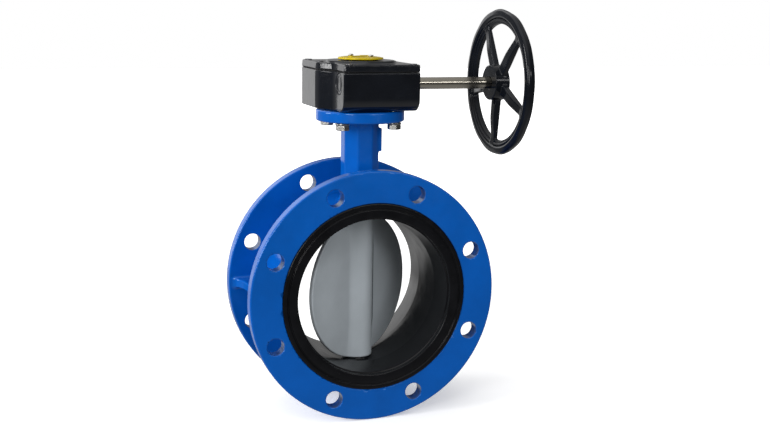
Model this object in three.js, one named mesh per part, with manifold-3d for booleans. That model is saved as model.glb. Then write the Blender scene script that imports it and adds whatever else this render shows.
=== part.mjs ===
// DN200 PN10 double-flanged concentric butterfly valve with a worm gear operator and handwheel.
// Millimetres. The origin is where the pipe axis (Y) crosses the stem axis (Z); X runs to the handwheel.
import * as THREE from 'three';
import { mergeVertices } from 'three/addons/utils/BufferGeometryUtils.js';
import Module from 'manifold-3d';

const wasm = await Module();
wasm.setup();

// ---------------------------------------------------------------- driving dimensions
const GAP = 0.3;               // clearance between neighbouring pieces
const FACE = 75;               // half of the metal face-to-face length
const FLANGE_R = 170;
const FLANGE_T = 18;
const BOLT_CIRCLE_R = 147.5;
const BOLT_HOLE_R = 11.5;
const BOLT_HOLES = 8;
const BARREL_R = 123;
const METAL_BORE_R = 111;

const SEAT_R = 102;            // liner bore where the disc seals
const MOUTH_R = 105.5;         // liner bore at the faces
const LIP_R = 127;             // liner lip over the flange face
const LIP_T = 5;
const LIP_PROUD = 1;           // how far the lip stands out of the flange
const DISC_R = 101.6;
const DISC_REST = 33.5;        // degrees open at rest; 0 is closed
const MID_TRAVEL = 45;         // the quadrant faces the worm squarely here
const DISC_HUB_R = 19.5;

const STEM_R = 11;
const BUSH_R = 14;
const NECK_FLAT = 24.2;        // half width of the octagonal neck
const TOP_R = 60;              // ISO 5211 F10 top flange
const TOP_Z = 244;
const TOP_T = 15;
const TOP_BOLT = 51 * Math.SQRT1_2;   // bolts lie on a 102 mm circle, at 45 degrees
const SPIGOT_R = 35;
const BOSS_R = 26;             // lower stem boss
const BOSS_BOTTOM = -163;      // its underside
const PLUG_BORE_R = 17;        // thread of the plug below the lower stem
const PLUG_BORE_TOP = -152;

const WORM_Y = -42;            // input shaft axis
const WORM_Z = 281;
const SHAFT_R = 8;
const WORM_SEAT_R = 7;         // shaft radius inside the worm
const WORM_PITCH_R = 13;
const WHEEL_TEETH = 24;        // of a whole wheel; the quadrant has ten
const QUADRANT_TEETH = 10;
const WHEEL_PITCH_R = -WORM_Y - WORM_PITCH_R;
const PITCH = 2 * Math.PI * WHEEL_PITCH_R / WHEEL_TEETH;
const ADDENDUM = 2;
const DEDENDUM = 2.4;
const LEAD_ANGLE = Math.atan(PITCH / (2 * Math.PI * WORM_PITCH_R));

const BOX = { left: -58, plug: -43.3, right: 62, front: -65.3, back: 88, facetFront: -23, facetBack: 10.7 };
const BOX_BOTTOM = TOP_Z + GAP;
const BOX_TOP = 296;
const FLOOR_Z = 252;           // inside floor of the gearbox
const WALL = 6;
const FRONT_ROUND = 20;        // round of the worm housing's lower edge
const GASKET_T = 0.8;
const COVER_Z = BOX_TOP + GASKET_T + 2 * GAP;
const COVER_TOP = 306.7;
const CROWN_R = 46;            // raised ring on the cover
const CROWN_TOP = 310;
const PLATE_R = 30.5;          // yellow indicator
const PLATE_LOW = CROWN_TOP + 0.9;
const PLATE_T = 3.6;
const PLATE_SCREWS = [[0, -17], [0, 17]];
const COVER_SCREWS = [[-34, -58.5], [54, -57], [-50, 24], [54, 24], [-50, 80], [24, 80]];
const SCREW_HOLE_R = 3.3;      // clearance hole of an M6 screw
const SCREW_SEAT = 301.9;      // floor of the recess for a screw head
const SCREW_TOP = 307.5;       // top of a screw head
const SCREW_BOSS_R = 7;        // metal left round a screw hole inside the box
const STOP_X = 22.5;           // travel stop screws in the back wall
const STOP_TIP = 14.2;
const END_PLUG_R = 13.7;       // plug over the worm's blind end
const SEAL_BORE_R = 12.3;      // bore of the input bearings and seal
const HUB_BORE_R = 20 + 2 * GAP;   // bore of the gearbox floor round the quadrant's hub
const HEAD_TOP = TOP_Z - TOP_T - 3;   // top of a mounting bolt's head
const WASHER_R = 9.5;

const WHEEL_X = 186.5;         // mid plane of the handwheel rim
const RIM_R = 89;
const RIM_HALF_RADIAL = 10;
const RIM_HALF_AXIAL = 7.5;
const HUB_R = 23.5;
const HUB_LEFT = 170.5;
const HUB_RIGHT = 191;
const PIN_X = 178;             // cross pin of the handwheel
const PIN_HOLE_R = 3.3;
const WORM_PIN_HOLE_R = 2.3;
const SPOKES = 5;
const SPOKE_START = 47;        // degrees, from -Y towards +Z

// ---------------------------------------------------------------- materials
const finish = (color, roughness, metalness) => ({ color, roughness, metalness });
const BLUE = finish(0x0c53b0, 0.32, 0.1);
const BLACK = finish(0x0d0f12, 0.25, 0.1);
const RUBBER = finish(0x17181a, 0.6, 0);
const GREY = finish(0x878d92, 0.45, 0.1);
const STEEL = finish(0xb4b2ad, 0.3, 1);
const BRONZE = finish(0xa9803f, 0.4, 1);
const YELLOW = finish(0xe8d21a, 0.45, 0);
const IRON = finish(0x55565a, 0.6, 0.6);

// ---------------------------------------------------------------- solids
const DEG = Math.PI / 180;
const AROUND = 40;             // facets of a large round
const BORE_AROUND = 56;        // facets of the pipe bore and flanges
const SMALL = 16;              // facets of a shaft or bush
const TINY = 8;                // facets of a screw or bolt hole

// Closed geometry to a manifold solid. A profile may run either way round: faces are turned outwards here.
function solid(geometry) {
  const bare = geometry.index ? geometry.toNonIndexed() : geometry.clone();
  for (const name of Object.keys(bare.attributes)) {
    if (name !== 'position') bare.deleteAttribute(name);
  }
  const merged = mergeVertices(bare, 1e-4);
  const position = merged.attributes.position.array;
  const index = [...merged.index.array];
  const triangles = [];
  for (let i = 0; i < index.length; i += 3) {
    const [a, b, c] = index.slice(i, i + 3);
    if (a !== b && b !== c && c !== a) triangles.push(a, b, c);
  }
  const build = (list) => new wasm.Manifold(new wasm.Mesh({
    numProp: 3,
    vertProperties: Float32Array.from(position),
    triVerts: Uint32Array.from(list),
  }));
  const made = build(triangles);
  return made.volume() > 0 ? made : build(triangles.reverse());
}

function toGeometry(manifold) {
  const mesh = manifold.getMesh();
  const geometry = new THREE.BufferGeometry();
  geometry.setAttribute('position', new THREE.BufferAttribute(Float32Array.from(mesh.vertProperties), 3));
  geometry.setIndex([...mesh.triVerts]);
  geometry.computeVertexNormals();
  return geometry;
}

// A solid of revolution about Z. The profile is a list of [radius, height].
function latheZ(profile, segments = AROUND) {
  const points = profile.map(([r, h]) => new THREE.Vector2(r, h));
  return solid(new THREE.LatheGeometry(points, segments).rotateX(Math.PI / 2));
}

// The same about Y and about X.
function latheY(profile, segments = AROUND) {
  const points = profile.map(([r, h]) => new THREE.Vector2(r, h));
  return solid(new THREE.LatheGeometry(points, segments));
}

function latheX(profile, segments = AROUND) {
  return latheZ(profile, segments).rotate([0, 90, 0]);
}

// A disc from low to high about Z, and a ring with a hole.
const rod = (r, low, high, segments = SMALL) => latheZ([[0, low], [r, low], [r, high], [0, high]], segments);
const ring = (inner, outer, low, high, segments = SMALL) => latheZ(
  [[inner, low], [outer, low], [outer, high], [inner, high], [inner, low]], segments);
const rodX = (r, low, high, segments = SMALL) => rod(r, low, high, segments).rotate([0, 90, 0]);
const ringX = (inner, outer, low, high) => ring(inner, outer, low, high).rotate([0, 90, 0]);
const rodY = (r, low, high, segments = SMALL) => rod(r, low, high, segments).rotate([-90, 0, 0]);

function box(x0, x1, y0, y1, z0, z1) {
  const geometry = new THREE.BoxGeometry(x1 - x0, y1 - y0, z1 - z0);
  return solid(geometry.translate((x0 + x1) / 2, (y0 + y1) / 2, (z0 + z1) / 2));
}

// A flat outline in XY, from low to high in Z.
function prism(outline, low, high) {
  const shape = new THREE.Shape(outline.map(([x, y]) => new THREE.Vector2(x, y)));
  const geometry = new THREE.ExtrudeGeometry(shape, { depth: high - low, bevelEnabled: false });
  return solid(geometry.translate(0, 0, low));
}

function polygon(sides, flat, turn = 0) {
  const r = flat / Math.cos(Math.PI / sides);
  return Array.from({ length: sides }, (_, i) => {
    const a = (i + 0.5) * 2 * Math.PI / sides + turn * DEG;
    return [r * Math.cos(a), r * Math.sin(a)];
  });
}

const hex = (flat, low, high) => prism(polygon(6, flat), low, high);

// The shape with a small hole along Z at each spot.
function drilled(shape, spots, r, low, high) {
  return spots.reduce((left, [x, y]) => left.subtract(rod(r, low, high, TINY).translate([x, y, 0])), shape);
}

// ---------------------------------------------------------------- valve body and seat
function bodyShape() {
  const inner = FACE - FLANGE_T;
  const profile = [
    [METAL_BORE_R, -FACE], [FLANGE_R, -FACE], [FLANGE_R, -inner], [BARREL_R + 4, -inner],
    [BARREL_R, -inner + 4], [BARREL_R, inner - 4], [BARREL_R + 4, inner],
    [FLANGE_R, inner], [FLANGE_R, FACE], [METAL_BORE_R, FACE], [METAL_BORE_R, -FACE],
  ];
  let body = latheY(profile, BORE_AROUND);
  body = body.add(prism(polygon(8, NECK_FLAT), BARREL_R - 8, TOP_Z - TOP_T + 1));
  body = body.add(latheZ([
    [0, TOP_Z - TOP_T - 4], [NECK_FLAT + 2, TOP_Z - TOP_T - 4], [NECK_FLAT + 6, TOP_Z - TOP_T],
    [TOP_R, TOP_Z - TOP_T], [TOP_R, TOP_Z], [0, TOP_Z],
  ]));
  body = body.add(latheZ([
    [0, BOSS_BOTTOM], [BOSS_R, BOSS_BOTTOM], [BOSS_R, -BARREL_R + 6], [0, -BARREL_R + 6],
  ], 32));
  body = body.add(namePad());
  for (const side of [-1, 1]) body = body.add(sideRib(side));
  return body;
}

// Blank raised pad on the neck, below the top flange.
function namePad() {
  const [low, high, half] = [187, 219, 12];
  const outline = [
    [NECK_FLAT - 4, low - 1.5], [NECK_FLAT + 2.5, low], [NECK_FLAT + 3.8, low + 1.5],
    [NECK_FLAT + 3.8, high - 1.5], [NECK_FLAT + 2.5, high], [NECK_FLAT - 4, high + 1.5],
  ];
  return prism(outline, -half, half).rotate([90, 0, 0]);
}

// Web between the flanges beside the bore, its edge curved in at the middle.
function sideRib(side) {
  const inner = FACE - FLANGE_T + 1;
  const [edge, waist, half, steps] = [163, 152, 6, 8];
  const outline = [[BARREL_R - 6, -inner]];
  for (let i = 0; i <= steps; i++) {
    const t = 2 * i / steps - 1;
    outline.push([waist + (edge - waist) * t ** 4, inner * t]);
  }
  outline.push([BARREL_R - 6, inner]);
  return prism(outline, -half, half).rotate([0, side > 0 ? 0 : 180, 0]);
}

function valveBody() {
  let body = bodyShape();
  for (const side of [-1, 1]) {
    const floor = FACE + LIP_PROUD - LIP_T - GAP;
    const recess = [[0, floor], [LIP_R + GAP, floor], [LIP_R + GAP, FACE + 5], [0, FACE + 5]];
    body = body.subtract(latheY(recess, BORE_AROUND).rotate([side > 0 ? 0 : 180, 0, 0]));
    for (let i = 0; i < BOLT_HOLES; i++) {
      const a = (i + 0.5) * 360 / BOLT_HOLES;
      const hole = rodY(BOLT_HOLE_R, FACE - FLANGE_T - 2, FACE + 2, 12).translate([BOLT_CIRCLE_R, 0, 0]);
      body = body.subtract(hole.rotate([side > 0 ? 0 : 180, a, 0]));
    }
  }
  body = body.subtract(rod(BUSH_R + GAP, 60, TOP_Z + 2));
  body = body.subtract(rod(BUSH_R + GAP, PLUG_BORE_TOP, -60));
  body = body.subtract(rod(PLUG_BORE_R, BOSS_BOTTOM - 2, PLUG_BORE_TOP));
  body = body.subtract(rod(SPIGOT_R, TOP_Z - 2.8, TOP_Z + 2, 32));
  return drilled(body, topBolts(), 5.5, TOP_Z - TOP_T - 8, TOP_Z + 2);
}

const topBolts = () => [[1, 1], [-1, 1], [-1, -1], [1, -1]].map(([x, y]) => [x * TOP_BOLT, y * TOP_BOLT]);

// Rubber seat: a sleeve with a lip at each face and a slight taper towards the mouths.
function seatLiner() {
  const out = FACE + LIP_PROUD;
  const half = [
    [SEAT_R, 0], [SEAT_R, 28], [MOUTH_R, 72], [MOUTH_R + 2.5, out], [LIP_R - 1, out], [LIP_R, out - 1],
    [LIP_R, out - LIP_T], [METAL_BORE_R - GAP, out - LIP_T], [METAL_BORE_R - GAP, 0],
  ];
  const mirrored = half.slice(1, -1).map(([r, y]) => [r, -y]).reverse();
  const profile = [...mirrored, ...half.slice(1, -1)];
  const liner = latheY([...profile, profile[0]], BORE_AROUND);
  return liner.subtract(rod(STEM_R + 0.4, -130, 130));
}

// ---------------------------------------------------------------- disc and stems
function discShape() {
  const rim = 4.5;
  const plate = 6.5;
  const side = [[0, -plate], [52, -plate], [86, -rim], [DISC_R + 4, -rim]];
  const outline = [...side, ...side.map(([r, h]) => [r, -h]).reverse()];
  let disc = latheY(outline, AROUND);
  disc = disc.add(rod(DISC_HUB_R, -DISC_R - 4, DISC_R + 4, 32));
  for (const turn of [0, 180]) disc = disc.add(hubFlank().rotate([0, 0, turn]));
  const steps = 24;
  const ball = Array.from({ length: steps + 1 }, (_, i) => {
    const a = (i / steps - 0.5) * Math.PI;
    return [i % steps ? DISC_R * Math.cos(a) : 0, DISC_R * Math.sin(a)];
  });
  return disc.intersect(latheY(ball, BORE_AROUND));
}

// Wedge that fairs the stem barrel into the plate.
function hubFlank() {
  const outline = [[-26, -6], [26, -6], [26, 6.4], [17, 11], [-17, 11], [-26, 6.4]];
  return prism(outline, -DISC_R - 4, DISC_R + 4);
}

function disc() {
  let shape = discShape().subtract(rod(STEM_R + GAP, 70, 110));
  shape = shape.subtract(prism(polygon(4, 8.05, 45), 29.7, 72));
  shape = shape.subtract(rod(STEM_R + GAP, -110, -30));
  return shape.rotate([0, 0, DISC_REST]);
}

function upperStem() {
  let stem = prism(polygon(4, 7.75, 45), 30, 70).rotate([0, 0, DISC_REST]);
  stem = stem.add(latheZ([
    [0, 69], [7.7, 69], [7.7, 70.5], [STEM_R, 73], [STEM_R, 305], [STEM_R - 1, 306], [0, 306],
  ], SMALL));
  stem = stem.subtract(keySlot(0));
  return stem.subtract(ring(9.9, 13, 300, 301.6));
}

const lowerStem = () => latheZ([
  [0, -150], [STEM_R - 1, -150], [STEM_R, -149], [STEM_R, -31.5], [STEM_R - 1, -30.5], [0, -30.5],
], SMALL);

// Space of the key between the stem and the quadrant, grown by a clearance.
function keySlot(clearance) {
  const low = 262 - clearance;
  const high = 292 + clearance;
  return box(STEM_R - 3.5 - clearance, STEM_R + 2.8 + clearance, -3 - clearance, 3 + clearance, low, high);
}

const stemKey = () => keySlot(-GAP);

const circlip = () => ring(10.2, 13.4, 300.3, 301.3).subtract(box(8, 15, -2.5, 2.5, 298, 303));

// ---------------------------------------------------------------- worm gear
// Ten teeth side by side, each thinned a little for backlash and narrowing from root to tip.
function toothOutline() {
  const tip = WHEEL_PITCH_R + ADDENDUM;
  const root = WHEEL_PITCH_R - DEDENDUM;
  const step = 360 / WHEEL_TEETH;
  const points = [];
  const first = -90 - (QUADRANT_TEETH / 2 - 0.5) * step;
  for (let i = 0; i < QUADRANT_TEETH; i++) {
    const middle = first + i * step;
    for (const [r, half] of [[root, 2.5], [WHEEL_PITCH_R, 1.62], [tip, 0.75], [tip, -0.75],
      [WHEEL_PITCH_R, -1.62], [root, -2.5]]) {
      const a = middle * DEG - half / r;
      points.push([r * Math.cos(a), r * Math.sin(a)]);
    }
  }
  return points;
}

function wormWheel() {
  const [low, high, hub] = [271, 291, 20];
  const teeth = toothOutline();
  const outline = [...teeth, [0, 0]];
  const shape = new THREE.Shape(outline.map(([x, y]) => new THREE.Vector2(x, y)));
  const geometry = new THREE.ExtrudeGeometry(shape, { depth: high - low, steps: 2, bevelEnabled: false });
  geometry.translate(0, 0, low);
  const position = geometry.attributes.position;
  for (let i = 0; i < position.count; i++) {
    const [x, y, z] = [position.getX(i), position.getY(i), position.getZ(i)];
    const turn = -(z - WORM_Z) * Math.tan(LEAD_ANGLE) / WHEEL_PITCH_R;
    position.setXY(i, x * Math.cos(turn) - y * Math.sin(turn), x * Math.sin(turn) + y * Math.cos(turn));
  }
  let wheel = solid(geometry).rotate([0, 0, DISC_REST - MID_TRAVEL]);
  wheel = wheel.add(latheZ([[0, 255], [hub, 255], [hub, 295], [22, 297], [22, 310.4], [0, 310.4]], 32));
  wheel = wheel.subtract(rod(STEM_R + GAP, 250, 307));
  wheel = wheel.subtract(rod(13.8, 299.8, 307));
  wheel = wheel.subtract(keySlot(0).add(box(STEM_R, STEM_R + 2.8, -3, 3, 292, 300)));
  wheel = wheel.rotate([0, 0, -DISC_REST]);
  return drilled(wheel, PLATE_SCREWS, 2, 305, 312).rotate([0, 0, DISC_REST]);
}

// One-start left-hand worm, so that the valve closes clockwise. A core with a helical thread.
function worm() {
  const turns = 4.75;
  const perTurn = 12;
  const root = WORM_PITCH_R - DEDENDUM;
  const tip = WORM_PITCH_R + ADDENDUM;
  const count = Math.round(turns * perTurn);
  const section = [[root - 1, -2.55], [tip, -0.85], [tip, 0.85], [root - 1, 2.55]];
  const positions = [];
  const index = [];
  for (let i = 0; i <= count; i++) {
    const turn = i / perTurn - turns / 2;
    const a = turn * 2 * Math.PI;
    for (const [r, offset] of section) {
      positions.push(-turn * PITCH + offset, r * Math.cos(a), r * Math.sin(a));
    }
  }
  const quad = (a, b, c, d) => index.push(a, c, b, a, d, c);
  for (let i = 0; i < count; i++) {
    for (let j = 0; j < 4; j++) {
      const k = (j + 1) % 4;
      quad(4 * i + j, 4 * i + k, 4 * i + 4 + k, 4 * i + 4 + j);
    }
  }
  quad(3, 2, 1, 0);
  quad(4 * count, 4 * count + 1, 4 * count + 2, 4 * count + 3);
  const geometry = new THREE.BufferGeometry();
  geometry.setAttribute('position', new THREE.BufferAttribute(new Float32Array(positions), 3));
  geometry.setIndex(index);
  let thread = solid(geometry);
  const length = 19.5;
  thread = thread.intersect(rodX(tip + 5, -length, length, 8));
  let shape = rodX(root, -length, length, perTurn).add(thread);
  shape = shape.rotate([WHEEL_TEETH * (DISC_REST - MID_TRAVEL), 0, 0]);
  shape = shape.subtract(rodX(WORM_SEAT_R + GAP, -30, 30));
  shape = shape.subtract(rod(WORM_PIN_HOLE_R, -30, 30, TINY));
  return shape.translate([0, WORM_Y, WORM_Z]);
}

// ---------------------------------------------------------------- input shaft and handwheel
function inputShaft() {
  const steps = [[0, -35], [6, -35], [WORM_SEAT_R, -34], [WORM_SEAT_R, 20], [SHAFT_R, 20], [SHAFT_R, 189.5],
    [7, 190.5], [0, 190.5]];
  let shaft = latheX(steps, SMALL);
  shaft = shaft.subtract(rod(WORM_PIN_HOLE_R, -20, 20, TINY));
  shaft = shaft.subtract(rod(PIN_HOLE_R, -20, 20, TINY).translate([PIN_X, 0, 0]));
  return shaft.translate([0, WORM_Y, WORM_Z]);
}

function rimSection() {
  const points = [];
  const sides = 10;
  for (let i = 0; i < sides; i++) {
    const a = (i + 0.5) * 2 * Math.PI / sides;
    points.push([RIM_R + RIM_HALF_RADIAL / Math.cos(Math.PI / sides) * Math.cos(a),
      RIM_HALF_AXIAL / Math.cos(Math.PI / sides) * Math.sin(a)]);
  }
  return [...points, points[0]];
}

// A tapered spoke along +Z, leaning out from the hub to the rim plane.
function spoke() {
  const outline = [[-8, 18], [8, 18], [6.5, RIM_R - 4], [-6.5, RIM_R - 4]];
  const bar = prism(outline, -4.5, 4.5).rotate([90, 0, 90]);
  return bar.translate([WHEEL_X - 3, 0, 0]);
}

function handwheel() {
  let wheel = latheX(rimSection(), 60).translate([WHEEL_X, 0, 0]);
  wheel = wheel.add(latheX([
    [0, HUB_LEFT], [HUB_R - 1, HUB_LEFT], [HUB_R, HUB_LEFT + 1], [HUB_R, HUB_RIGHT - 1],
    [HUB_R - 1, HUB_RIGHT], [0, HUB_RIGHT],
  ], 30));
  for (let i = 0; i < SPOKES; i++) {
    wheel = wheel.add(spoke().rotate([90 - SPOKE_START - i * 360 / SPOKES, 0, 0]));
  }
  wheel = wheel.subtract(rodX(SHAFT_R + GAP, HUB_LEFT - 2, HUB_RIGHT + 2));
  wheel = wheel.subtract(rod(PIN_HOLE_R, -HUB_R - 2, HUB_R + 2, TINY).translate([PIN_X, 0, 0]));
  return wheel.translate([0, WORM_Y, WORM_Z]);
}

// ---------------------------------------------------------------- gearbox
// Outline of the gearbox seen from above, moved in by an inset.
function boxOutline(inset = 0) {
  const { left, plug, right, front, back, facetFront, facetBack } = BOX;
  const corner = 4;
  const slant = 30;
  const cut = inset * 0.41;
  return [
    [plug + inset + corner, front + inset], [right - inset - corner, front + inset],
    [right - inset, front + inset + corner], [right - inset, back - slant - cut],
    [right - slant - cut, back - inset], [left + inset + corner, back - inset],
    [left + inset, back - inset - corner], [left + inset, facetBack + cut],
    [plug + inset, facetFront + cut], [plug + inset, front + inset + corner],
  ];
}

function gearboxShell() {
  const [y, z] = [BOX.front + FRONT_ROUND, BOX_BOTTOM + FRONT_ROUND];
  const corner = box(-200, 200, BOX.front - 10, y, BOX_BOTTOM - 10, z);
  const sharp = corner.subtract(rodX(FRONT_ROUND, -200, 200, 32).translate([0, y, z]));
  const shell = prism(boxOutline(), BOX_BOTTOM, BOX_TOP).subtract(sharp);
  return shell.add(rod(SPIGOT_R - GAP, TOP_Z - 2.5, BOX_BOTTOM + 1, 32));
}

function gearboxHousing() {
  const cavityFront = -22;
  let shell = gearboxShell();
  let cavity = prism(boxOutline(WALL), FLOOR_Z, BOX_TOP + 5);
  cavity = cavity.subtract(box(-200, 200, -200, cavityFront, 0, 400));
  cavity = drilled(cavity, COVER_SCREWS, SCREW_BOSS_R, 0, 400);
  cavity = drilled(cavity, topBolts(), 9, 0, 260);
  cavity = cavity.add(box(-23, 23, -59, cavityFront + 1, 260, BOX_TOP + 5));
  shell = shell.subtract(cavity);
  const bores = [rodX(END_PLUG_R + GAP, BOX.plug - 2, -36.5), rodX(SEAL_BORE_R, -40, BOX.right + 2)];
  for (const bore of bores) shell = shell.subtract(bore.translate([0, WORM_Y, WORM_Z]));
  shell = shell.subtract(rod(HUB_BORE_R, 200, 300, 32));
  shell = drilled(shell, COVER_SCREWS, SCREW_HOLE_R, 283, 300);
  shell = drilled(shell, topBolts(), 5.3, 200, 256);
  const stop = rodY(4.3, 70, 100, TINY);
  for (const x of [-STOP_X, STOP_X]) shell = shell.subtract(stop.translate([x, 0, WORM_Z]));
  return shell;
}

function coverGasket() {
  const sheet = prism(boxOutline(0.5), BOX_TOP + GAP, BOX_TOP + GAP + GASKET_T);
  const middle = drilled(prism(boxOutline(WALL), 200, 400), COVER_SCREWS, SCREW_BOSS_R, 0, 500);
  return drilled(sheet.subtract(middle), COVER_SCREWS, SCREW_HOLE_R, 200, 400);
}

function gearboxCover() {
  let cover = prism(boxOutline(), COVER_Z, COVER_TOP);
  const crown = latheZ([
    [0, COVER_TOP - 1], [CROWN_R + 3, COVER_TOP - 1], [CROWN_R, CROWN_TOP], [0, CROWN_TOP],
  ]);
  cover = cover.add(crown.intersect(prism(boxOutline(1), COVER_Z, CROWN_TOP + 1)));
  cover = cover.subtract(rod(22 + 2 * GAP, 200, 400, 32));
  cover = cover.subtract(rod(26, 300, 304, 32));
  cover = drilled(cover, COVER_SCREWS, SCREW_HOLE_R, 200, 400);
  return drilled(cover, COVER_SCREWS, 5.5, SCREW_SEAT, 400);
}

function coverScrew() {
  const screw = rod(5, SCREW_SEAT + GAP, SCREW_TOP, TINY).add(rod(3, 285, SCREW_SEAT + 1, TINY));
  return screw.subtract(hex(2.5, SCREW_TOP - 2.8, SCREW_TOP + 1));
}

const indicatorSeal = () => ring(22.3, 25.7, 300.3, 303.7, 32);

function indicatorPlate() {
  const top = PLATE_LOW + PLATE_T;
  let plate = latheZ([
    [0, PLATE_LOW], [PLATE_R - 1, PLATE_LOW], [PLATE_R, PLATE_LOW + 1], [PLATE_R - 1, top - 1],
    [PLATE_R - 6, top], [0, top],
  ]);
  const pointer = [[-3, -23], [3, -23], [3, 10], [8, 10], [0, 24], [-8, 10], [-3, 10]];
  plate = plate.add(prism(pointer, top - 0.6, top + 1.2).rotate([0, 0, -90]));
  return drilled(plate, PLATE_SCREWS, 2.3, 300, 330).rotate([0, 0, DISC_REST]);
}

function indicatorScrew([x, y]) {
  const seat = PLATE_LOW + PLATE_T + GAP;
  let screw = rod(3.6, seat, seat + 2.4, TINY).add(rod(1.7, 306.5, seat + 0.5, TINY));
  screw = screw.subtract(box(-0.6, 0.6, -6, 6, seat + 1.4, seat + 4));
  return screw.translate([x, y, 0]).rotate([0, 0, DISC_REST]);
}

// Stop screws come in through the back wall and meet the ends of the quadrant.
function stopScrew(side) {
  let screw = rodY(4, STOP_TIP, 99, TINY).add(hex(6.5, 0, 5.3).rotate([-90, 0, 0]).translate([0, 98.5, 0]));
  return screw.translate([STOP_X * side, 0, WORM_Z]);
}

function stopNut(side) {
  let nut = hex(6.5, 0, 6.5).subtract(rod(4.3, -1, 8, TINY)).rotate([-90, 0, 0]);
  return nut.translate([STOP_X * side, BOX.back + GAP, WORM_Z]);
}

// ---------------------------------------------------------------- fasteners under the top flange
const mountingBolt = () => hex(8, HEAD_TOP - 6.4, HEAD_TOP).add(rod(5, HEAD_TOP - 0.5, 255, TINY));

const mountingWasher = () => ring(5.4, WASHER_R, HEAD_TOP + GAP, HEAD_TOP + 3 - GAP, TINY);

function bottomPlug() {
  return rod(PLUG_BORE_R - GAP, BOSS_BOTTOM + 0.5, -154.1).subtract(hex(5, BOSS_BOTTOM - 2, -157));
}

const onShaft = (shape) => shape.translate([0, WORM_Y, WORM_Z]);

// ---------------------------------------------------------------- assembly
const valve = new THREE.Group();

function add(name, shape, look) {
  const mesh = new THREE.Mesh(toGeometry(shape), new THREE.MeshStandardMaterial(look));
  mesh.name = name;
  valve.add(mesh);
}

add('valve_body', valveBody(), BLUE);
add('seat_liner', seatLiner(), RUBBER);
add('upper_stem_bush', ring(STEM_R + GAP, BUSH_R, 200, 226), BRONZE);
add('middle_stem_bush', ring(STEM_R + GAP, BUSH_R, 122, 150), BRONZE);
add('lower_stem_bush', ring(STEM_R + GAP, BUSH_R, -148, -122), BRONZE);
add('upper_stem_o_ring', ring(STEM_R + GAP, BUSH_R, 227, 230), RUBBER);
add('middle_stem_o_ring', ring(STEM_R + GAP, BUSH_R, 151, 154), RUBBER);
add('bottom_plug_gasket', ring(12, PLUG_BORE_R - GAP, -153.8, PLUG_BORE_TOP - GAP), RUBBER);
add('bottom_plug', bottomPlug(), STEEL);
topBolts().forEach(([x, y], i) => {
  add(`mounting_bolt_${i + 1}`, mountingBolt().translate([x, y, 0]), STEEL);
  add(`mounting_washer_${i + 1}`, mountingWasher().translate([x, y, 0]), STEEL);
});

add('gearbox_housing', gearboxHousing(), BLACK);
add('cover_gasket', coverGasket(), RUBBER);
add('gearbox_cover', gearboxCover(), BLACK);
COVER_SCREWS.forEach(([x, y], i) => add(`cover_screw_${i + 1}`, coverScrew().translate([x, y, 0]), STEEL));
add('worm_end_plug', onShaft(rodX(END_PLUG_R, -42.8, -37)), BLACK);
add('worm_bearing_left', onShaft(ringX(WORM_SEAT_R + GAP, SEAL_BORE_R - GAP, -36.2, -24)), BRONZE);
add('worm_bearing_right', onShaft(ringX(SHAFT_R + GAP, SEAL_BORE_R - GAP, 24, 48)), BRONZE);
add('input_seal', onShaft(ringX(SHAFT_R + GAP, SEAL_BORE_R - GAP, 54, 61.5)), RUBBER);
add('indicator_seal', indicatorSeal(), RUBBER);
for (const [side, word] of [[-1, 'left'], [1, 'right']]) {
  add(`stop_screw_${word}`, stopScrew(side), STEEL);
  add(`stop_nut_${word}`, stopNut(side), STEEL);
}

add('disc', disc(), GREY);
add('upper_stem', upperStem(), STEEL);
add('lower_stem', lowerStem(), STEEL);
add('worm_wheel', wormWheel(), IRON);
add('stem_key', stemKey(), STEEL);
add('stem_circlip', circlip(), STEEL);
add('indicator_plate', indicatorPlate(), YELLOW);
PLATE_SCREWS.forEach((spot, i) => add(`indicator_screw_${i + 1}`, indicatorScrew(spot), STEEL));

add('input_shaft', inputShaft(), STEEL);
add('worm', worm(), STEEL);
add('worm_pin', onShaft(rod(1.9, -10.2, 10.2, TINY)), STEEL);
add('handwheel', handwheel(), BLACK);
add('handwheel_pin', onShaft(rod(2.9, -22.5, 22.5, TINY).translate([PIN_X, 0, 0])), STEEL);

export default valve;
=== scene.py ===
"""Looks of a DN200 double-flanged butterfly valve with a worm gear operator and a handwheel.

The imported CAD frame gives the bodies, the nodes and their places. Every piece is made again here as a fine
mesh: castings grow from distance fields, whose corners and roots are rounded as cast metal is, and turned
pieces are profiles spun about their axis. Fields and profiles are in millimetres, in the CAD frame.
"""
import math

import bmesh
import bpy
import numpy as np
import openvdb
from mathutils import Matrix, Vector


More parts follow.
